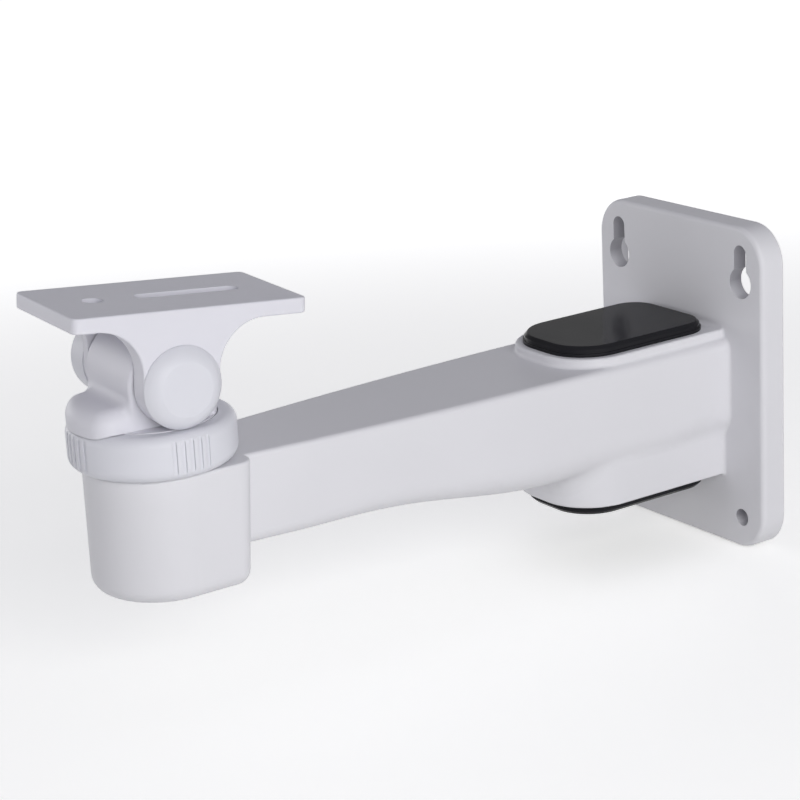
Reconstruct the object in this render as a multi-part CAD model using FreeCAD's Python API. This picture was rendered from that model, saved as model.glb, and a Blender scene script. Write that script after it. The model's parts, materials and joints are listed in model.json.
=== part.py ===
import FreeCAD, Part
import math
import os

# Camera wall bracket. The origin is the centre of the four wall fixings, in the plane of the wall plate's
# back face. Z is up, X runs across the plate and the arm reaches out along -Y. All sizes are in millimetres.

V = FreeCAD.Vector
X_AXIS = V(1, 0, 0)
Y_AXIS = V(0, 1, 0)
Z_AXIS = V(0, 0, 1)

# Wall plate
plate_width = 98.0
plate_height = 132.0
plate_centre_z = -1.0
plate_thickness = 11.0
plate_corner_radius = 15.0
plate_edge_radius = 2.0
plate_rim = 5.0
plate_web = 6.2
fixing_pad_wall = 5.1

# Wall fixings: keyholes above, round holes below
fixing_pitch_x = 73.0
fixing_pitch_z = 108.5
fixing_hole_diameter = 7.0
keyhole_entry_diameter = 12.2
keyhole_drop = 11.7

# Root block with the vertical cable shaft
root_width = 52.4
root_reach = 84.8
root_corner_radius = 21.0
root_top = 22.1
root_bottom = -38.4
root_edge_radius = 0.9
shaft_wall = 6.6

# Cable caps
cap_margin = 2.9
cap_wall_gap = 2.2
cap_back_corner_radius = 12.0
cap_height = 4.0
cap_flange = 1.3
cap_step = 0.6
cap_bevel = 1.3
cap_skirt_depth = 7.0
cap_skirt_wall = 1.6
cap_skirt_clearance = 0.15

# Arm
arm_top_at_plate = 18.6
arm_top_at_cup = 18.0
arm_half_width = 28.6
arm_half_width_at_cup = 18.3
arm_widest_at = 50.0
arm_flare = 2.3
arm_under_at_cup = -16.2
arm_under_at_root = -25.5
arm_arch_start = 90.0
arm_arch_end = 182.0
arm_top_radius_at_cup = 1.6
arm_top_radius_at_root = 2.4
arm_top_radius_at_plate = 4.5
arm_lower_radius_at_cup = 4.0
arm_lower_radius_at_root = 14.0
arm_sections = 10
arm_wall = 4.5
block_upper_fillet = 1.2
block_lower_fillet = 9.0
plate_fillet = 1.5

# End cup
cup_reach = 255.0
cup_radius = 25.5
cup_height = 46.0
cup_back = 26.6
cup_back_draft = 3.2
cup_back_corner_radius = 6.0
cup_bottom_radius = 6.0
cup_bore_diameter = 34.0
cup_floor = 5.0
neck_inset = 0.4

# Swivel seat washer
seat_washer_thickness = 1.0

# Swivel knuckle
flange_thickness = 3.4
spigot_length = 9.0
pan_clearance = 0.08
lip_clearance = 0.3
tongue_radius = 16.2
tongue_edge_radius = 1.4
shoulder_radius = 29.5
shoulder_height = 8.2
shoulder_round = 6.2
shoulder_side_round = 8.0
shoulder_fillet = 4.0
back_step_height = 2.6
back_step_round = 1.8

# Lock collar
collar_diameter = 60.2
collar_lip = 3.3
collar_lip_overlap = 1.5
collar_clearance = 0.3
collar_top_round = 3.6
collar_bottom_round = 4.6
rib_groups = 4
grooves_per_group = 5
groove_pitch_angle = 6.2
groove_width = 1.5
groove_depth = 0.5
groove_turn = -2.0

# Camera yoke
bolt_height = 49.8
bolt_offset = 1.5
yoke_length = 88.8
yoke_width = 49.0
yoke_thickness = 5.6
yoke_rise = 27.3
yoke_offset = 3.9
yoke_corner_radius = 2.6
yoke_edge_radius = 0.7
near_ear_thickness = 7.7
far_ear_thickness = 4.4
ear_radius = 14.6
ear_flare_radius = 17.0
camera_hole_diameter = 7.6
camera_hole_margin = 18.3
camera_slot_width = 6.8
camera_slot_length = 40.0
camera_slot_margin = 14.6

# Tilt bolt, nut, washers and covers
bolt_diameter = 6.0
bolt_hole_clearance = 0.08
bolt_head_flats = 10.0
bolt_head_height = 4.0
nut_flats = 10.0
nut_height = 5.0
flat_washer_diameter = 12.0
flat_washer_thickness = 1.2
spring_washer_diameter = 10.6
spring_washer_thickness = 1.4
spring_washer_gap = 1.2
thread_stick_out = 3.5
ear_recess_diameter = 22.0
near_ear_recess = 3.2
far_ear_recess = 1.6
friction_disc_diameter = 26.0
friction_disc_thickness = 1.1
cover_diameter = 29.6
near_cover_height = 4.2
far_cover_height = 13.6
cover_edge_width = 5.1
cover_edge_drop = 3.8
cover_edge_bulge = 0.55
cover_wall = 1.5
cover_lip_depth = 1.5
cover_lip_clearance = 0.1

# Pose of the head in the photograph
pan_angle = -3.5
tilt_angle = -5.2

# Sizes that follow from the ones above
bolt_y = bolt_offset - cup_reach
plate_front = -plate_thickness
cup_top = arm_top_at_cup
cup_bottom = cup_top - cup_height
shoulder_base = bolt_height - cover_diameter / 2
collar_top = shoulder_base - lip_clearance
flange_top = collar_top - collar_lip
flange_bottom = flange_top - flange_thickness
neck_top = flange_bottom - seat_washer_thickness
neck_height = neck_top - cup_top
neck_radius = cup_radius - neck_inset
flange_radius = neck_radius
collar_bore_radius = neck_radius + collar_clearance
collar_opening_radius = flange_radius - collar_lip_overlap
collar_bottom = cup_top + collar_clearance
pivot_radius = collar_opening_radius - lip_clearance
shoulder_top = shoulder_base + shoulder_height
back_step_top = shoulder_base + back_step_height
ear_face = yoke_width / 2
near_ear_inner = ear_face - near_ear_thickness
far_ear_inner = ear_face - far_ear_thickness
tongue_near = near_ear_inner - friction_disc_thickness
tongue_far = far_ear_inner - friction_disc_thickness
tongue_thickness = tongue_near + tongue_far
yoke_underside = yoke_rise - yoke_thickness
near_recess_floor = ear_face - near_ear_recess
far_recess_floor = ear_face - far_ear_recess
bolt_hole_radius = bolt_diameter / 2 + bolt_hole_clearance
cap_length = root_reach - plate_thickness - cap_wall_gap - cap_margin
cap_width = root_width - 2 * cap_margin
cap_centre = -(root_reach - cap_margin - cap_length / 2)
cap_corner_radius = root_corner_radius - cap_margin
shaft_width = root_width - 2 * shaft_wall
shaft_length = cap_length - 2 * (shaft_wall - cap_margin)
shaft_corner_radius = root_corner_radius - shaft_wall


def rounded_rectangle(width, length, radius, centre, u_axis=X_AXIS, v_axis=Y_AXIS, far_radius=None):
    """Face of width along u_axis and length along v_axis; far_radius rounds its two +v corners."""
    near = min(radius, width / 2 - 0.01, length / 2 - 0.01)
    far = near if far_radius is None else min(far_radius, width / 2 - 0.01, length / 2 - 0.01)
    quarters = ((1, 1, 0, far), (-1, 1, 90, far), (-1, -1, 180, near), (1, -1, 270, near))
    corners = []
    for u_sign, v_sign, start, size in quarters:
        points = []
        for turn in (0, 45, 90):
            angle = math.radians(start + turn)
            u = u_sign * (width / 2 - size) + size * math.cos(angle)
            v = v_sign * (length / 2 - size) + size * math.sin(angle)
            points.append(centre + u_axis * u + v_axis * v)
        corners.append(points)
    edges = []
    for index, points in enumerate(corners):
        following = corners[(index + 1) % 4]
        edges.append(Part.Arc(*points).toShape())
        edges.append(Part.LineSegment(points[2], following[0]).toShape())
    return Part.Face(Part.Wire(edges))


def slot_face(width, length, centre, u_axis, v_axis):
    """Face of a slot with semicircular ends, its overall length along v_axis."""
    return rounded_rectangle(width, length, width / 2, centre, u_axis, v_axis)


def cylinder(radius, height, base, axis=Z_AXIS):
    return Part.makeCylinder(radius, height, base, axis)


def ring(outer_radius, inner_radius, height, base, axis=Z_AXIS):
    return cylinder(outer_radius, height, base, axis).cut(cylinder(inner_radius, height, base, axis))


def hexagon_prism(flats, height, base):
    """Hexagonal prism along X with a flat facing up."""
    reach = flats / math.sqrt(3)
    points = []
    for corner in range(7):
        angle = math.radians(60 * corner)
        points.append(base + Y_AXIS * (reach * math.cos(angle)) + Z_AXIS * (reach * math.sin(angle)))
    return Part.Face(Part.makePolygon(points)).extrude(X_AXIS * height)


def edges_where(shape, test):
    return [edge for edge in shape.Edges if test(edge)]


def on_plane(edge, axis, value):
    """True when the whole edge lies at the value along the axis."""
    box = edge.BoundBox
    low = {0: box.XMin, 1: box.YMin, 2: box.ZMin}[axis]
    high = {0: box.XMax, 1: box.YMax, 2: box.ZMax}[axis]
    return abs(low - value) < 0.01 and abs(high - value) < 0.01


def round_edges(shape, radius, test):
    return shape.makeFillet(radius, edges_where(shape, test))


def meeting_edges(body, first, second):
    """Edges of the fused body along which the surfaces of its two members meet."""
    found = []
    for edge in body.Edges:
        middle = Part.Vertex(edge.valueAt((edge.FirstParameter + edge.LastParameter) / 2))
        if middle.distToShape(first.Shells[0])[0] < 0.001 and middle.distToShape(second.Shells[0])[0] < 0.001:
            found.append(edge)
    return found


def wall_plate():
    """Rounded plate with a softened front edge and a recessed back."""
    outline = rounded_rectangle(
        plate_width, plate_height, plate_corner_radius, V(0, 0, plate_centre_z), X_AXIS, Z_AXIS)
    plate = outline.extrude(V(0, plate_front, 0))
    return round_edges(plate, plate_edge_radius, lambda edge: on_plane(edge, 1, plate_front))


def plate_recess():
    """Hollow in the plate's back that leaves the web and the rim."""
    outline = rounded_rectangle(
        plate_width - 2 * plate_rim, plate_height - 2 * plate_rim,
        plate_corner_radius - plate_rim, V(0, 0, plate_centre_z), X_AXIS, Z_AXIS)
    return outline.extrude(V(0, -(plate_thickness - plate_web), 0))


def fixing_pads():
    """Round pads around the lower holes, level with the back, that the screws pull against the wall."""
    pads = []
    radius = fixing_hole_diameter / 2 + fixing_pad_wall
    depth = plate_thickness - plate_web / 2
    for side in (-1, 1):
        pads.append(cylinder(radius, depth, V(side * fixing_pitch_x / 2, 0, -fixing_pitch_z / 2), -Y_AXIS))
    return pads


def keyhole(x):
    """Narrow neck above a wide entry, through the whole plate."""
    neck_z = fixing_pitch_z / 2
    entry_z = neck_z - keyhole_drop
    depth = plate_thickness + 2
    neck_centre = V(x, 1, (neck_z + entry_z) / 2)
    neck = slot_face(fixing_hole_diameter, keyhole_drop + fixing_hole_diameter, neck_centre, X_AXIS, Z_AXIS)
    entry = cylinder(keyhole_entry_diameter / 2, depth, V(x, 1, entry_z), -Y_AXIS)
    return neck.extrude(V(0, -depth, 0)).fuse(entry).removeSplitter()


def fixing_holes():
    cutters = []
    for side in (-1, 1):
        x = side * fixing_pitch_x / 2
        cutters.append(keyhole(x))
        cutters.append(cylinder(fixing_hole_diameter / 2, plate_thickness + 2,
                                V(x, 1, -fixing_pitch_z / 2), -Y_AXIS))
    return cutters


def root_outline(inset, reach_back):
    """Plan of the root block: round-cornered in front, reaching back towards the wall."""
    width = root_width - 2 * inset
    length = root_reach - inset + reach_back
    centre = V(0, reach_back - length / 2, 0)
    return rounded_rectangle(width, length, root_corner_radius - inset, centre)


def root_block():
    height = root_top - root_bottom
    block = root_outline(0, root_corner_radius).extrude(V(0, 0, height))
    block.translate(V(0, 0, root_bottom))
    block = round_edges(block, root_edge_radius,
                        lambda edge: on_plane(edge, 2, root_top) or on_plane(edge, 2, root_bottom))
    behind = Part.makeBox(root_width + 2, 2 * root_corner_radius, height + 2,
                          V(-root_width / 2 - 1, plate_front + plate_web / 2, root_bottom - 1))
    return block.cut(behind)


def share_between(start, stop, value):
    return min(1.0, max(0.0, (value - start) / (stop - start)))


def arm_section(distance, inset):
    """Cross-section of the arm at a distance from the wall, as a closed wire.

    The half width falls with the square of the distance past the widest place and flares a little
    towards the plate. The underside arches up as half a cosine wave between the root and the cup.
    """
    cup_start = cup_reach - cup_back
    past = (distance - arm_widest_at) / (cup_start - arm_widest_at)
    half_width = arm_half_width - (arm_half_width - arm_half_width_at_cup) * past * abs(past)
    if distance < arm_widest_at:
        half_width = arm_half_width + arm_flare * (1 - distance / arm_widest_at) ** 2
    along = share_between(plate_thickness, cup_start, distance)
    top = arm_top_at_plate + (arm_top_at_cup - arm_top_at_plate) * along
    arch = (1 - math.cos(math.pi * share_between(arm_arch_start, arm_arch_end, distance))) / 2
    under = arm_under_at_root + (arm_under_at_cup - arm_under_at_root) * arch
    outward = share_between(arm_arch_start, cup_start, distance)
    top_radius = arm_top_radius_at_root + (arm_top_radius_at_cup - arm_top_radius_at_root) * outward
    if distance < arm_arch_start:
        inward = 1 - share_between(plate_thickness, arm_arch_start, distance)
        top_radius = arm_top_radius_at_root + (arm_top_radius_at_plate - arm_top_radius_at_root) * inward
    lower_radius = arm_lower_radius_at_root + (arm_lower_radius_at_cup - arm_lower_radius_at_root) * outward
    height = top - under - 2 * inset
    centre = V(0, -distance, (top + under) / 2)
    return rounded_rectangle(2 * (half_width - inset), height, max(lower_radius - inset, 1.0), centre,
                             X_AXIS, Z_AXIS, max(top_radius - inset, 1.0)).OuterWire


def arm_body(inset, start, stop):
    """Loft through the arm's cross-sections."""
    step = (stop - start) / (arm_sections - 1)
    sections = [arm_section(start + step * index, inset) for index in range(arm_sections)]
    return Part.makeLoft(sections, True)


def arm():
    return arm_body(0, plate_thickness - plate_web / 2, cup_reach - cup_back + cup_back_corner_radius / 2)


def arm_core():
    """Cable way inside the arm, from the root shaft to the cup's bore."""
    return arm_body(arm_wall, root_reach - shaft_wall - 2, cup_reach)


def cup_outline(back, z):
    """Plan of the cup: a half circle in front, straight sides, round corners towards the arm."""
    radius = cup_radius
    corner = cup_back_corner_radius
    middle_y = -cup_reach
    back_y = middle_y + back
    slant = corner * math.sqrt(0.5)

    def side_points(side):
        front = V(side * radius, middle_y, z)
        turn_start = V(side * radius, back_y - corner, z)
        turn_middle = V(side * (radius - corner + slant), back_y - corner + slant, z)
        turn_end = V(side * (radius - corner), back_y, z)
        return front, turn_start, turn_middle, turn_end

    near = side_points(1)
    far = side_points(-1)
    edges = [Part.LineSegment(near[0], near[1]).toShape(),
             Part.Arc(near[1], near[2], near[3]).toShape(),
             Part.LineSegment(near[3], far[3]).toShape(),
             Part.Arc(far[3], far[2], far[1]).toShape(),
             Part.LineSegment(far[1], far[0]).toShape(),
             Part.Arc(far[0], V(0, middle_y - radius, z), near[0]).toShape()]
    return Part.Wire(edges)


def cup():
    """Outer body of the cup, its back wall drafted inwards towards the bottom."""
    body = Part.makeLoft([cup_outline(cup_back - cup_back_draft, cup_bottom),
                          cup_outline(cup_back, cup_top)], True, True)
    body = round_edges(body, cup_bottom_radius, lambda edge: on_plane(edge, 2, cup_bottom))
    return round_edges(body, root_edge_radius, lambda edge: on_plane(edge, 2, cup_top))


def cup_neck():
    """Threaded neck for the collar, its fine thread left plain."""
    return cylinder(neck_radius, neck_height, V(0, -cup_reach, cup_top))


def cup_bore():
    depth = cup_height - cup_floor + neck_height
    return cylinder(cup_bore_diameter / 2, depth, V(0, -cup_reach, cup_bottom + cup_floor))


def cable_shaft():
    """Vertical way through the root block, open above and below."""
    outline = rounded_rectangle(shaft_width, shaft_length, shaft_corner_radius,
                                V(0, cap_centre, root_bottom - 1))
    return outline.extrude(V(0, 0, root_top - root_bottom + 2))


def cable_window():
    """Opening from the shaft to the plate's back, for a cable out of the wall."""
    width = shaft_width - 2 * arm_wall
    centre = V(0, 1, (root_top + root_bottom) / 2)
    outline = rounded_rectangle(width, width, width / 4, centre, X_AXIS, Z_AXIS)
    return outline.extrude(V(0, cap_centre - 1, 0))


def arm_with_block():
    """Arm and root block with soft creases: wide ones under the arm, small ones over it."""
    arm_solid = arm()
    block = root_block()

    def creases(body):
        return [edge for edge in meeting_edges(body, arm_solid, block) if edge.BoundBox.YMin < plate_front]

    body = arm_solid.fuse(block).removeSplitter()
    body = body.makeFillet(block_lower_fillet, [edge for edge in creases(body) if edge.BoundBox.ZMax < 0])
    return body.makeFillet(block_upper_fillet, [edge for edge in creases(body) if edge.BoundBox.ZMin > 0])


def outer_casting():
    """Plate, arm, root block, cup and neck in one solid, before its ways and holes are cut."""
    body = wall_plate().fuse(arm_with_block()).removeSplitter()
    reach = root_width / 2 + shaft_wall

    def meets_plate(edge):
        box = edge.BoundBox
        within = box.XMin > -reach and box.XMax < reach and box.ZMax < root_top + 1
        return within and on_plane(edge, 1, plate_front)

    body = round_edges(body, plate_fillet, meets_plate)
    return body.fuse(cup()).fuse(cup_neck()).removeSplitter()


def wall_arm_casting():
    """The one casting: hollow behind the plate and along the arm, with its fixing holes."""
    body = outer_casting().cut(plate_recess())
    for pad in fixing_pads():
        body = body.fuse(pad)
    for cutter in fixing_holes() + [cable_shaft(), cable_window(), cup_bore(), arm_core()]:
        body = body.cut(cutter)
    return body.removeSplitter()


def cable_cap():
    """Cap lying on Z=0 with its skirt below: thin flange, small step and a bevelled crown."""
    centre = V(0, cap_centre, 0)
    flange = rounded_rectangle(cap_width, cap_length, cap_corner_radius, centre,
                               far_radius=cap_back_corner_radius).extrude(V(0, 0, cap_flange))
    crown_height = cap_height - cap_flange
    crown_centre = centre + V(0, 0, cap_flange)
    crown = rounded_rectangle(cap_width - 2 * cap_step, cap_length - 2 * cap_step,
                              cap_corner_radius - cap_step, crown_centre,
                              far_radius=cap_back_corner_radius - cap_step).extrude(V(0, 0, crown_height))
    crown_edges = edges_where(crown, lambda edge: on_plane(edge, 2, cap_height))
    crown = crown.makeChamfer(cap_bevel, crown_edges)
    skirt_outer = rounded_rectangle(shaft_width - 2 * cap_skirt_clearance,
                                    shaft_length - 2 * cap_skirt_clearance,
                                    shaft_corner_radius - cap_skirt_clearance,
                                    centre).extrude(V(0, 0, -cap_skirt_depth))
    inset = cap_skirt_clearance + cap_skirt_wall
    skirt_inner = rounded_rectangle(shaft_width - 2 * inset, shaft_length - 2 * inset,
                                    shaft_corner_radius - inset, centre).extrude(V(0, 0, -cap_skirt_depth))
    skirt = skirt_outer.cut(skirt_inner)
    return flange.fuse(crown).fuse(skirt).removeSplitter()


def upper_cable_cap():
    cap = cable_cap()
    cap.translate(V(0, 0, root_top))
    return cap


def lower_cable_cap():
    cap = cable_cap()
    cap.rotate(V(0, cap_centre, 0), Y_AXIS, 180)
    cap.translate(V(0, 0, root_bottom))
    return cap


def swivel_seat_washer():
    return ring(neck_radius, cup_bore_diameter / 2, seat_washer_thickness, V(0, -cup_reach, neck_top))


def lock_collar():
    """Turned ring with rounded edges, an inner lip and four groups of grip grooves."""
    radius = collar_diameter / 2
    height = collar_top - collar_bottom
    base = V(0, -cup_reach, collar_bottom)
    body = cylinder(radius, height, base)
    body = round_edges(body, collar_top_round, lambda edge: on_plane(edge, 2, collar_top))
    body = round_edges(body, collar_bottom_round, lambda edge: on_plane(edge, 2, collar_bottom))
    body = body.cut(cylinder(collar_bore_radius, flange_top - collar_bottom, base))
    body = body.cut(cylinder(collar_opening_radius, height + 1, base))
    for group in range(rib_groups):
        for index in range(grooves_per_group):
            offset = index - (grooves_per_group - 1) / 2
            angle = 360 / rib_groups * group + offset * groove_pitch_angle + groove_turn
            groove = Part.makeBox(groove_depth * 2, groove_width, height,
                                  V(radius - groove_depth, -cup_reach - groove_width / 2, collar_bottom))
            groove.rotate(V(0, -cup_reach, 0), Z_AXIS, angle)
            body = body.cut(groove)
    return body


def swivel_knuckle():
    """Flange and spigot in the cup, outer shoulder, and a thick tongue with a round top."""
    axis_base = V(0, -cup_reach, 0)

    def disc(radius, low, high):
        return cylinder(radius, high - low, axis_base + Z_AXIS * low)

    spigot = disc(cup_bore_diameter / 2 - pan_clearance, flange_bottom - spigot_length, flange_bottom)
    flange = disc(flange_radius, flange_bottom, flange_top)
    pivot = disc(pivot_radius, flange_top, shoulder_base)

    def slab(y_start, y_length):
        return Part.makeBox(tongue_thickness, y_length, bolt_height, V(-tongue_far, -cup_reach + y_start, 0))

    shoulder = disc(shoulder_radius, shoulder_base - collar_top_round, shoulder_top)
    shoulder = shoulder.common(slab(-shoulder_radius, shoulder_radius))

    def is_side_corner(edge):
        box = edge.BoundBox
        return box.ZLength > shoulder_height and box.YMax < -cup_reach - shoulder_side_round

    shoulder = round_edges(shoulder, shoulder_side_round, is_side_corner)
    shoulder = round_edges(shoulder, shoulder_round,
                           lambda edge: on_plane(edge, 2, shoulder_top) and not on_plane(edge, 1, -cup_reach))
    over_collar = disc(collar_diameter / 2 + lip_clearance, collar_bottom, shoulder_base)
    over_collar = round_edges(over_collar, collar_top_round + lip_clearance,
                              lambda edge: on_plane(edge, 2, shoulder_base))
    shoulder = shoulder.cut(over_collar)
    back_step = disc(pivot_radius, shoulder_base, back_step_top)
    back_step = round_edges(back_step, back_step_round, lambda edge: on_plane(edge, 2, back_step_top))
    back_step = back_step.common(slab(0, shoulder_radius))

    outer_foot = V(-tongue_far, bolt_y - tongue_radius, shoulder_base)
    outer_side = V(-tongue_far, bolt_y - tongue_radius, bolt_height)
    crown_top = V(-tongue_far, bolt_y, bolt_height + tongue_radius)
    inner_side = V(-tongue_far, bolt_y + tongue_radius, bolt_height)
    inner_foot = V(-tongue_far, bolt_y + tongue_radius, shoulder_base)
    profile = Part.Wire([Part.LineSegment(outer_foot, outer_side).toShape(),
                         Part.Arc(outer_side, crown_top, inner_side).toShape(),
                         Part.LineSegment(inner_side, inner_foot).toShape(),
                         Part.LineSegment(inner_foot, outer_foot).toShape()])
    tongue = Part.Face(profile).extrude(V(tongue_thickness, 0, 0))

    def is_tongue_edge(edge):
        on_side = on_plane(edge, 0, tongue_near) or on_plane(edge, 0, -tongue_far)
        return on_side and not on_plane(edge, 2, shoulder_base)

    tongue = round_edges(tongue, tongue_edge_radius, is_tongue_edge)
    upper = shoulder.fuse(tongue).removeSplitter()

    def is_inner_corner(edge):
        return on_plane(edge, 2, shoulder_top) and on_plane(edge, 1, bolt_y - tongue_radius)

    upper = round_edges(upper, shoulder_fillet, is_inner_corner)
    knuckle = upper.fuse(back_step).fuse(pivot).fuse(flange).fuse(spigot).removeSplitter()
    hole = cylinder(bolt_hole_radius, tongue_thickness + 2, V(-tongue_far - 1, bolt_y, bolt_height), X_AXIS)
    return pan(knuckle.cut(hole))


def pan(shape):
    """Turned about the cup's axis as in the photograph."""
    shape.rotate(V(0, -cup_reach, 0), Z_AXIS, pan_angle)
    return shape


def place_head(shape):
    """From the head's own frame, centred on the tilt bolt, to its place and pose on the bracket."""
    shape.rotate(V(0, 0, 0), X_AXIS, tilt_angle)
    shape.translate(V(0, bolt_y, bolt_height))
    return pan(shape)


def ear_profile(x):
    """Round lower end around the bolt, widening with two hollow flares into the plate."""
    flare_base = yoke_underside - ear_flare_radius
    reach = ear_radius + ear_flare_radius
    quarter = ear_flare_radius * (1 - math.sqrt(0.5))

    def flare(side):
        start = V(x, side * ear_radius, flare_base)
        middle = V(x, side * (ear_radius + quarter), yoke_underside - quarter)
        end = V(x, side * reach, yoke_underside)
        return [start, middle, end]

    first = flare(1)
    last = flare(-1)
    edges = [Part.Arc(V(x, last[0].y, 0), V(x, 0, -ear_radius), V(x, first[0].y, 0)).toShape(),
             Part.LineSegment(V(x, first[0].y, 0), first[0]).toShape(),
             Part.Arc(*first).toShape(),
             Part.LineSegment(first[2], first[2] + Z_AXIS).toShape(),
             Part.LineSegment(first[2] + Z_AXIS, last[2] + Z_AXIS).toShape(),
             Part.LineSegment(last[2] + Z_AXIS, last[2]).toShape(),
             Part.Arc(last[2], last[1], last[0]).toShape(),
             Part.LineSegment(last[0], V(x, last[0].y, 0)).toShape()]
    return Part.Face(Part.Wire(edges))


def camera_yoke():
    """Camera plate with a slot and a hole, and two ears level with its long sides."""
    middle = V(0, yoke_offset, yoke_underside)
    plate = rounded_rectangle(yoke_width, yoke_length, yoke_corner_radius, middle)
    plate = plate.extrude(V(0, 0, yoke_thickness))
    body = plate.fuse(ear_profile(near_ear_inner).extrude(V(near_ear_thickness, 0, 0)))
    body = body.fuse(ear_profile(-ear_face).extrude(V(far_ear_thickness, 0, 0)))
    body = body.removeSplitter()

    def is_outer_edge(edge):
        return on_plane(edge, 0, ear_face) or on_plane(edge, 0, -ear_face) or on_plane(edge, 2, yoke_rise)

    body = round_edges(body, yoke_edge_radius, is_outer_edge)
    wall_end = yoke_offset + yoke_length / 2
    outer_end = yoke_offset - yoke_length / 2
    slot_centre = V(0, wall_end - camera_slot_margin - camera_slot_length / 2, yoke_underside - 1)
    slot = slot_face(camera_slot_width, camera_slot_length, slot_centre, X_AXIS, Y_AXIS)
    body = body.cut(slot.extrude(V(0, 0, yoke_thickness + 2)))
    hole_centre = V(0, outer_end + camera_hole_margin, yoke_underside - 1)
    body = body.cut(cylinder(camera_hole_diameter / 2, yoke_thickness + 2, hole_centre))
    across = yoke_width + 2
    body = body.cut(cylinder(bolt_hole_radius, across, V(-across / 2, 0, 0), X_AXIS))
    recess_radius = ear_recess_diameter / 2
    body = body.cut(cylinder(recess_radius, near_ear_recess + 1, V(near_recess_floor, 0, 0), X_AXIS))
    body = body.cut(cylinder(recess_radius, far_ear_recess + 1, V(-far_recess_floor, 0, 0), -X_AXIS))
    return place_head(body)


def friction_disc(x):
    """Thin disc on the bolt's axis that starts at x and reaches towards the near side."""
    return place_head(ring(friction_disc_diameter / 2, bolt_hole_radius, friction_disc_thickness,
                           V(x, 0, 0), X_AXIS))


def near_friction_disc():
    return friction_disc(tongue_near)


def far_friction_disc():
    return friction_disc(-far_ear_inner)


def tilt_bolt():
    """Hexagon head on the near side, shank through both ears, rounded end past the nut."""
    head_seat = near_recess_floor + flat_washer_thickness
    nut_seat = -far_recess_floor - flat_washer_thickness - spring_washer_thickness
    tip = nut_seat - nut_height - thread_stick_out
    shank = cylinder(bolt_diameter / 2, head_seat - tip, V(tip, 0, 0), X_AXIS)
    shank = shank.makeChamfer(thread_stick_out / 2, edges_where(shank, lambda edge: on_plane(edge, 0, tip)))
    head = hexagon_prism(bolt_head_flats, bolt_head_height, V(head_seat, 0, 0))
    return place_head(shank.fuse(head).removeSplitter())


def tilt_flat_washers():
    washers = []
    for x in (near_recess_floor, -far_recess_floor - flat_washer_thickness):
        washers.append(ring(flat_washer_diameter / 2, bolt_hole_radius, flat_washer_thickness,
                            V(x, 0, 0), X_AXIS))
    return place_head(Part.makeCompound(washers))


def tilt_spring_washer():
    """Split washer, pressed flat, with its gap at the top."""
    seat = -far_recess_floor - flat_washer_thickness
    body = ring(spring_washer_diameter / 2, bolt_hole_radius, spring_washer_thickness, V(seat, 0, 0), -X_AXIS)
    gap = Part.makeBox(spring_washer_thickness + 2, spring_washer_gap, spring_washer_diameter,
                       V(seat - spring_washer_thickness - 1, -spring_washer_gap / 2, 0))
    return place_head(body.cut(gap))


def tilt_nut():
    seat = -far_recess_floor - flat_washer_thickness - spring_washer_thickness
    nut = hexagon_prism(nut_flats, nut_height, V(seat - nut_height, 0, 0))
    return place_head(nut.cut(cylinder(bolt_diameter / 2, nut_height, V(seat - nut_height, 0, 0), X_AXIS)))


def dome(height):
    """Turned body on the ear's face: a flat crown and a wide edge that falls to the rim in a shallow arc."""
    crown = ear_face + height
    foot = V(ear_face, 0, 0)
    top = V(crown, 0, 0)
    flat_end = V(crown, cover_diameter / 2 - cover_edge_width, 0)
    rim = V(crown - cover_edge_drop, cover_diameter / 2, 0)
    outward = V(cover_edge_width, cover_edge_drop, 0).normalize()
    middle = (flat_end + rim) * 0.5 + outward * cover_edge_bulge
    rim_foot = V(ear_face, cover_diameter / 2, 0)
    edges = [Part.LineSegment(foot, top).toShape(),
             Part.LineSegment(top, flat_end).toShape(),
             Part.Arc(flat_end, middle, rim).toShape(),
             Part.LineSegment(rim, rim_foot).toShape(),
             Part.LineSegment(rim_foot, foot).toShape()]
    return Part.Face(Part.Wire(edges)).revolve(V(0, 0, 0), X_AXIS, 360)


def bolt_cover(side, height):
    """Round hollow cover with a domed edge and a lip that plugs into the ear's recess."""
    outer = dome(height)
    lip_radius = ear_recess_diameter / 2 - cover_lip_clearance
    lip = cylinder(lip_radius, cover_lip_depth, V(ear_face - cover_lip_depth, 0, 0), X_AXIS)
    hollow = cylinder(lip_radius - cover_wall, height - cover_wall + cover_lip_depth,
                      V(ear_face - cover_lip_depth, 0, 0), X_AXIS)
    cover = outer.fuse(lip).removeSplitter().cut(hollow)
    if side < 0:
        cover = cover.mirror(V(0, 0, 0), X_AXIS)
    return place_head(cover)


def near_bolt_cap():
    """Low cover over the bolt's head."""
    return bolt_cover(1, near_cover_height)


def far_bolt_cap():
    """Higher cover over the nut and the bolt's end."""
    return bolt_cover(-1, far_cover_height)


NODES = (
    wall_arm_casting,
    upper_cable_cap,
    lower_cable_cap,
    swivel_seat_washer,
    lock_collar,
    swivel_knuckle,
    near_friction_disc,
    far_friction_disc,
    camera_yoke,
    tilt_bolt,
    tilt_flat_washers,
    tilt_spring_washer,
    tilt_nut,
    near_bolt_cap,
    far_bolt_cap,
)


def main():
    os.makedirs("parts", exist_ok=True)
    for make in NODES:
        shape = make()
        box = shape.BoundBox
        print(make.__name__, "solids", len(shape.Solids), "valid", shape.isValid(),
              "volume %.0f" % shape.Volume, "z %.1f to %.1f" % (box.ZMin, box.ZMax))
        shape.exportStep("parts/" + make.__name__ + ".step")


main()
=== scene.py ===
import json
import math

import bpy
import numpy as np
from mathutils import Matrix, Vector

# Camera wall bracket: procedural materials, soft studio light and the photograph's camera.
# Units are metres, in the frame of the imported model: Z up, wall plate at Y = 0, arm along -Y.

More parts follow.
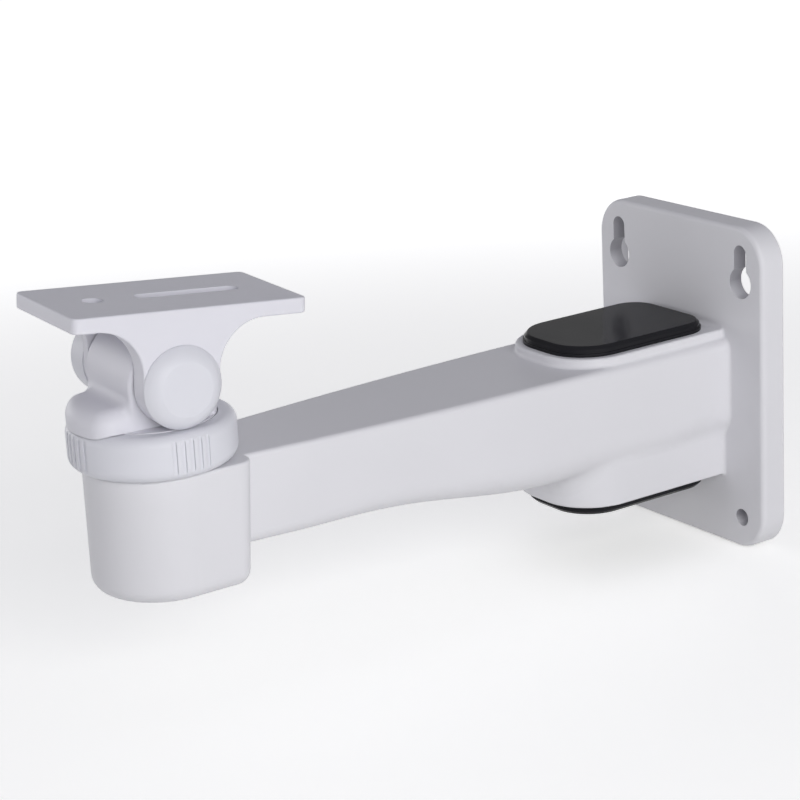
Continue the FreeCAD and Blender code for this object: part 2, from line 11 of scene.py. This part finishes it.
CAMERA = {"azimuth": 55.71, "elevation": 17.07, "roll": 2.91, "focal_px": 2509.07,
          "image_px": 800, "distance": 0.94005, "target": (0.0, -0.14911, 0.01684)}
WHITE = (1.0, 1.0, 1.0, 1.0)

# Surroundings: light on the object, and what is seen of them, which turns greyer between two heights
AMBIENT = 0.262
PALE = 1.0
OVERHEAD = 0.38
OVERHEAD_RISE = (0.10, 0.26)
LEVEL_TINT = (0.98, 0.98, 1.0)
SKY_TINT = (0.88, 0.88, 1.0)
SKY_TINT_FROM = 0.8

# Softboxes: name, direction from the bracket, distance, size, power and whether reflections show it
SOFTBOXES = (
    ("key", (0.95, -0.20, 0.32), 1.3, (1.2, 0.8), 11.2, True),
    ("front_fill", (-0.45, -0.85, 0.10), 0.9, (0.5, 0.25), 0.6, True),
    ("side_fill", (-0.95, -0.30, 0.14), 1.4, (1.0, 0.5), 3.0, True),
    ("rear_fill", (-0.80, 0.55, 0.05), 1.3, (0.9, 0.3), 6.0, False),
)

# Floor: a disc that looks lifted towards white, and more so between two distances from the bracket
FLOOR_HEIGHT = -0.0673
FLOOR_RADIUS = 14.0
FLOOR_SIDES = 96
FLOOR_LIFT = 0.40
FAR_FLOOR_LIFT = 0.80
FLOOR_LIFT_RISE = (0.35, 1.1)

# Skin of painted and moulded pieces, and the speckle of hidden ones
EDGE_SOFTNESS = 0.0005
EDGE_SAMPLES = 6
COARSE_DEPTH = 0.00006
FINE_DEPTH = 0.00002
FINE_PER_COARSE = 3.7
CLOUD_RANGE = (0.3, 0.7)
SPECKLE_DEPTH = 0.00005

# Painted shade on the walls of the wall plate's screw holes: middle and reach of their place and of the way
# that they face, how much shade stays where they face up, and the dark grey that is painted there
HOLE_ACROSS = (0.0365, 0.0064)
HOLE_DEPTH = (-0.0078, 0.0031)
HOLE_HEIGHT = (0.0, 0.0585)
HOLE_SIDEWAYS = (0.0, 0.5)
HOLE_FACING_UP = 0.8
HOLE_LEFT_UP = 0.15
HOLE_WALL_SHADE = (0.35, 0.345, 0.375, 1.0)


def feed(tree, socket, value):
    """Link a socket into an input, or set the input to a value."""
    if isinstance(value, bpy.types.NodeSocket):
        tree.links.new(value, socket)
    else:
        socket.default_value = value


def add_node(tree, kind, **inputs):
    """A new node with some of its input sockets set or linked."""
    node = tree.nodes.new(kind)
    for name, value in inputs.items():
        feed(tree, node.inputs[name.replace("_", " ")], value)
    return node


def maths(tree, operation, *values):
    """Output of a math node on sockets or numbers."""
    node = tree.nodes.new("ShaderNodeMath")
    node.operation = operation
    for socket, value in zip(node.inputs, values):
        feed(tree, socket, value)
    return node.outputs[0]


def map_range(tree, value, limits=(0.0, 1.0), ends=(0.0, 1.0), smooth=False):
    """A value mapped from its two limits to two ends, and held at the ends beyond them."""
    node = add_node(tree, "ShaderNodeMapRange", Value=value, From_Min=limits[0], From_Max=limits[1],
                    To_Min=ends[0], To_Max=ends[1])
    if smooth:
        node.interpolation_type = "SMOOTHSTEP"
    return node.outputs["Result"]


def ramp(tree, factor, stops):
    """Colour ramp through (position, colour) stops."""
    node = add_node(tree, "ShaderNodeValToRGB", Fac=factor)
    elements = node.color_ramp.elements
    while len(elements) < len(stops):
        elements.new(0.5)
    for element, (position, colour) in zip(elements, stops):
        element.position = position
        element.color = (*colour, 1.0)
    return node.outputs["Color"]


def noise(tree, vector, scale, detail, roughness=0.5):
    """Value of a noise texture."""
    return add_node(tree, "ShaderNodeTexNoise", Vector=vector, Scale=scale, Detail=detail,
                    Roughness=roughness).outputs["Fac"]


def object_place(tree):
    """Object coordinates of the shaded point."""
    return tree.nodes.new("ShaderNodeTexCoord").outputs["Object"]


def new_group(name, inputs, outputs):
    """An empty node group with named inputs and outputs, and its two end nodes."""
    tree = bpy.data.node_groups.new(name, "ShaderNodeTree")
    for label in inputs:
        tree.interface.new_socket(name=label, in_out="INPUT", socket_type="NodeSocketFloat")
    for label, kind in outputs:
        tree.interface.new_socket(name=label, in_out="OUTPUT", socket_type=kind)
    return tree, tree.nodes.new("NodeGroupInput"), tree.nodes.new("NodeGroupOutput")


def use_group(tree, group, **settings):
    """A group placed in a material with its own values."""
    node = tree.nodes.new("ShaderNodeGroup")
    node.node_tree = group
    for label, value in settings.items():
        node.inputs[label.replace("_", " ")].default_value = value
    return node


def skin_group():
    """Skin of a painted or moulded piece: broad clouds, a gloss that follows them, and two sizes of grain.

    The grain is a bump on normals that are softened along the piece's edges.
    """
    tree, begin, end = new_group(
        "skin", ("Cloud Scale", "Grain Scale", "Grain Strength", "Gloss Low", "Gloss High"),
        (("Cloud", "NodeSocketFloat"), ("Gloss", "NodeSocketFloat"), ("Normal", "NodeSocketVector")))
    place = object_place(tree)
    cloud = noise(tree, place, begin.outputs["Cloud Scale"], 2.0)
    gloss = map_range(tree, cloud, CLOUD_RANGE, (begin.outputs["Gloss Low"], begin.outputs["Gloss High"]))
    soft_edge = add_node(tree, "ShaderNodeBevel", Radius=EDGE_SOFTNESS)
    soft_edge.samples = EDGE_SAMPLES
    grain_scale = begin.outputs["Grain Scale"]
    coarse = noise(tree, place, grain_scale, 1.0)
    fine = noise(tree, place, maths(tree, "MULTIPLY", grain_scale, FINE_PER_COARSE), 2.0)
    normal = soft_edge.outputs["Normal"]
    for height, depth in ((coarse, COARSE_DEPTH), (fine, FINE_DEPTH)):
        normal = add_node(tree, "ShaderNodeBump", Height=height, Normal=normal, Distance=depth,
                          Strength=begin.outputs["Grain Strength"]).outputs["Normal"]
    for label, value in (("Cloud", cloud), ("Gloss", gloss), ("Normal", normal)):
        tree.links.new(value, end.inputs[label])
    return tree


def speckle_group():
    """Fine marks over a piece, and a bump that follows them."""
    tree, begin, end = new_group("speckle", ("Scale", "Detail", "Roughness", "Bump Strength"),
                                 (("Marks", "NodeSocketFloat"), ("Normal", "NodeSocketVector")))
    marks = noise(tree, object_place(tree), begin.outputs["Scale"], begin.outputs["Detail"],
                  begin.outputs["Roughness"])
    bump = add_node(tree, "ShaderNodeBump", Height=marks, Strength=begin.outputs["Bump Strength"],
                    Distance=SPECKLE_DEPTH)
    tree.links.new(marks, end.inputs["Marks"])
    tree.links.new(bump.outputs["Normal"], end.inputs["Normal"])
    return tree


def hole_group():
    """Mask of the walls of the wall plate's four screw holes, where shade is painted, weaker where they face
    up to the light.
    """
    tree, _, end = new_group("screw_hole_walls", (), (("Mask", "NodeSocketFloat"),))
    coordinates = tree.nodes.new("ShaderNodeTexCoord")
    place = add_node(tree, "ShaderNodeSeparateXYZ", Vector=coordinates.outputs["Object"]).outputs
    facing = add_node(tree, "ShaderNodeSeparateXYZ", Vector=coordinates.outputs["Normal"]).outputs
    mask = map_range(tree, facing["Z"], (0.0, HOLE_FACING_UP), (1.0, HOLE_LEFT_UP))
    across = maths(tree, "ABSOLUTE", place["X"])
    for value, middle, reach in ((across, *HOLE_ACROSS), (place["Y"], *HOLE_DEPTH),
                                 (place["Z"], *HOLE_HEIGHT), (facing["Y"], *HOLE_SIDEWAYS)):
        mask = maths(tree, "MULTIPLY", mask, maths(tree, "COMPARE", value, middle, reach))
    tree.links.new(mask, end.inputs["Mask"])
    return tree


def new_material(name):
    """A new material, its node tree and its principled shader."""
    material = bpy.data.materials.new(name)
    material.use_nodes = True
    return material, material.node_tree, material.node_tree.nodes["Principled BSDF"]


def skinned(name, group, dark, light, specular, **settings):
    """Material with the skin group's gloss and grain, its colour between dark and light over the clouds."""
    material, tree, shader = new_material(name)
    skin = use_group(tree, group, **settings)
    colour = ramp(tree, skin.outputs["Cloud"], tuple(zip(CLOUD_RANGE, (dark, light))))
    tree.links.new(colour, shader.inputs["Base Color"])
    tree.links.new(skin.outputs["Gloss"], shader.inputs["Roughness"])
    tree.links.new(skin.outputs["Normal"], shader.inputs["Normal"])
    shader.inputs["Specular IOR Level"].default_value = specular
    return material


def powder_coat(group, name, dark, light):
    """Smooth white powder coat with a faint orange peel."""
    return skinned(name, group, dark, light, specular=0.25, Cloud_Scale=16.0, Grain_Scale=950.0,
                   Grain_Strength=0.10, Gloss_Low=0.38, Gloss_High=0.46)


def shade_hole_walls(material):
    """Painted shade: the walls of the screw holes are mixed towards a dark grey, less where they face up to
    the light.
    """
    tree = material.node_tree
    base = tree.nodes["Principled BSDF"].inputs["Base Color"]
    holes = use_group(tree, hole_group())
    colour = add_node(tree, "ShaderNodeMixRGB", Fac=holes.outputs["Mask"],
                      Color1=base.links[0].from_socket, Color2=HOLE_WALL_SHADE)
    tree.links.new(colour.outputs["Color"], base)
    return material


def white_plastic(group):
    """Moulded white plastic, a little cooler than the paint."""
    return skinned("white_plastic", group, (0.716, 0.719, 0.768), (0.734, 0.737, 0.786), specular=0.25,
                   Cloud_Scale=26.0, Grain_Scale=1400.0, Grain_Strength=0.08, Gloss_Low=0.34,
                   Gloss_High=0.42)


def black_plastic(group):
    """Glossy moulded black plastic."""
    return skinned("black_plastic", group, (0.013, 0.013, 0.015), (0.019, 0.019, 0.022), specular=0.062,
                   Cloud_Scale=35.0, Grain_Scale=1900.0, Grain_Strength=0.08, Gloss_Low=0.13,
                   Gloss_High=0.19)


def speckled(name, group, stops, metallic, roughness, **settings):
    """Material with the speckle group's bump, and its colour through the stops over the marks."""
    material, tree, shader = new_material(name)
    speckle = use_group(tree, group, **settings)
    tree.links.new(ramp(tree, speckle.outputs["Marks"], stops), shader.inputs["Base Color"])
    tree.links.new(speckle.outputs["Normal"], shader.inputs["Normal"])
    shader.inputs["Metallic"].default_value = metallic
    shader.inputs["Roughness"].default_value = roughness
    return material


def zinc_steel(group):
    """Bright zinc plate with turning marks."""
    stops = ((0.3, (0.50, 0.50, 0.52)), (0.7, (0.66, 0.66, 0.68)))
    return speckled("zinc_steel", group, stops, metallic=1.0, roughness=0.32, Scale=700.0, Detail=4.0,
                    Roughness=0.5, Bump_Strength=0.2)


def grey_fibre(group):
    """Pressed fibre with a speckled matt face."""
    stops = ((0.35, (0.05, 0.05, 0.052)), (0.65, (0.13, 0.13, 0.13)))
    return speckled("grey_fibre", group, stops, metallic=0.0, roughness=0.85, Scale=1800.0, Detail=5.0,
                    Roughness=0.7, Bump_Strength=0.3)


def dress_nodes(frame):
    """Give every piece the material of its slot."""
    skin = skin_group()
    speckle = speckle_group()
    arm_coat = powder_coat(skin, "white_powder_coat", (0.724, 0.720, 0.750), (0.745, 0.741, 0.771))
    head_coat = powder_coat(skin, "cool_white_powder_coat", (0.721, 0.716, 0.769), (0.742, 0.737, 0.790))
    plastic = white_plastic(skin)
    # The arm's coat gets painted shade on the walls of its screw holes.
    finishes = {"white_paint": shade_hole_walls(arm_coat), "white_head": head_coat, "white_collar": plastic,
                "white_cover": plastic, "black_cap": black_plastic(skin),
                "zinc_steel": zinc_steel(speckle), "seat_fibre": grey_fibre(speckle)}
    slots = {entry["node"]: entry["material_slot"] for entry in frame["record"]["subparts"]}
    for name, node in frame["nodes"].items():
        node.data.materials.clear()
        node.data.materials.append(finishes[slots[name]])


def link_object(name, data):
    """A new object in the scene."""
    thing = bpy.data.objects.new(name, data)
    bpy.context.scene.collection.objects.link(thing)
    return thing


def camera_axes(*degrees):
    """Camera axes (right, up, back) for an azimuth, elevation and roll in degrees."""
    azimuth, elevation, roll = (math.radians(angle) for angle in degrees)
    back = Vector((math.sin(azimuth) * math.cos(elevation), -math.cos(azimuth) * math.cos(elevation),
                   math.sin(elevation)))
    right = Vector((math.cos(azimuth), math.sin(azimuth), 0.0))
    up = back.cross(right)
    rolled_right = right * math.cos(roll) - up * math.sin(roll)
    rolled_up = right * math.sin(roll) + up * math.cos(roll)
    return rolled_right, rolled_up, back


def add_camera():
    """The photograph's camera, from its solved angles, distance and focal length."""
    data = bpy.data.cameras.new("camera")
    data.sensor_width = 36.0
    data.lens = CAMERA["focal_px"] * data.sensor_width / CAMERA["image_px"]
    data.clip_start = 0.05
    data.clip_end = 60.0
    camera = link_object("camera", data)
    right, up, back = camera_axes(CAMERA["azimuth"], CAMERA["elevation"], CAMERA["roll"])
    matrix = Matrix((right, up, back)).transposed().to_4x4()
    matrix.translation = Vector(CAMERA["target"]) + back * CAMERA["distance"]
    camera.matrix_world = matrix
    bpy.context.scene.camera = camera


def add_softbox(name, direction, distance, size, power, mirrored):
    """Rectangular area light that looks at the middle of the bracket."""
    data = bpy.data.lights.new(name, "AREA")
    data.shape = "RECTANGLE"
    data.size, data.size_y = size
    data.energy = power
    light = link_object(name, data)
    towards = Vector(direction).normalized()
    light.location = Vector(CAMERA["target"]) + towards * distance
    light.rotation_euler = towards.to_track_quat("Z", "Y").to_euler()
    light.visible_glossy = mirrored


def seen_directly(tree):
    """1 for rays from the camera, in reflections and through glass, 0 for rays that light the object."""
    path = tree.nodes.new("ShaderNodeLightPath").outputs
    seen = path["Is Camera Ray"]
    for kind in ("Is Glossy Ray", "Is Transmission Ray"):
        seen = maths(tree, "MAXIMUM", seen, path[kind])
    return seen


def add_world():
    """Surroundings: dim light on the object, bluer from above, and seen white with a greyer ceiling."""
    world = bpy.data.worlds.new("studio")
    bpy.context.scene.world = world
    world.use_nodes = True
    tree = world.node_tree
    shader = tree.nodes["Background"]
    direction = tree.nodes.new("ShaderNodeTexCoord").outputs["Generated"]
    height = add_node(tree, "ShaderNodeSeparateXYZ", Vector=direction).outputs["Z"]
    direct = seen_directly(tree)
    seen_strength = map_range(tree, height, OVERHEAD_RISE, (PALE, OVERHEAD), smooth=True)
    strength = map_range(tree, direct, ends=(AMBIENT, seen_strength))
    sky = ramp(tree, height, ((0.0, LEVEL_TINT), (SKY_TINT_FROM, SKY_TINT)))
    colour = add_node(tree, "ShaderNodeMixRGB", Fac=direct, Color1=sky, Color2=WHITE)
    tree.links.new(colour.outputs["Color"], shader.inputs["Color"])
    tree.links.new(strength, shader.inputs["Strength"])


def floor_material():
    """Matt pale floor, lifted where it is seen, but less so near the bracket, where its shadow falls."""
    material, tree, shader = new_material("pale_floor")
    apart = add_node(tree, "ShaderNodeVectorMath", Vector=object_place(tree))
    apart.operation = "DISTANCE"
    apart.inputs[1].default_value = (0.0, CAMERA["target"][1], FLOOR_HEIGHT)
    away = map_range(tree, apart.outputs["Value"], FLOOR_LIFT_RISE, (FLOOR_LIFT, FAR_FLOOR_LIFT),
                     smooth=True)
    lift = map_range(tree, seen_directly(tree), ends=(0.0, away))
    tree.links.new(lift, shader.inputs["Emission Strength"])
    shader.inputs["Emission Color"].default_value = WHITE
    shader.inputs["Base Color"].default_value = (0.93, 0.93, 0.91, 1.0)
    shader.inputs["Roughness"].default_value = 0.9
    shader.inputs["Specular IOR Level"].default_value = 0.1
    return material


def add_floor():
    """Plain floor under the wall plate: a disc whose rim is the radius times cosine and sine of even turns."""
    turns = np.arange(FLOOR_SIDES) * 2 * np.pi / FLOOR_SIDES
    rim = np.column_stack((FLOOR_RADIUS * np.cos(turns), FLOOR_RADIUS * np.sin(turns),
                           np.full(FLOOR_SIDES, FLOOR_HEIGHT)))
    mesh = bpy.data.meshes.new("floor")
    mesh.from_pydata(rim.tolist(), [], [tuple(range(FLOOR_SIDES))])
    mesh.materials.append(floor_material())
    floor = link_object("floor", mesh)


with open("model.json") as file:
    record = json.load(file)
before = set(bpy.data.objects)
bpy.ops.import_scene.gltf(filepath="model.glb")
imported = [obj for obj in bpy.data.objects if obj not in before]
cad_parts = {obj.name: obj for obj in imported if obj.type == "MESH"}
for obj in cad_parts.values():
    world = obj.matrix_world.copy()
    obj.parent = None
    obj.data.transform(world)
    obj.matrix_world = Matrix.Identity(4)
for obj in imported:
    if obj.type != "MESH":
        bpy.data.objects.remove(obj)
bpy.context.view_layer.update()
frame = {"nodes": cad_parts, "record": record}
dress_nodes(frame)
add_camera()
add_world()
add_floor()
for softbox in SOFTBOXES:
    add_softbox(*softbox)
bpy.context.scene.view_settings.view_transform = "Standard"
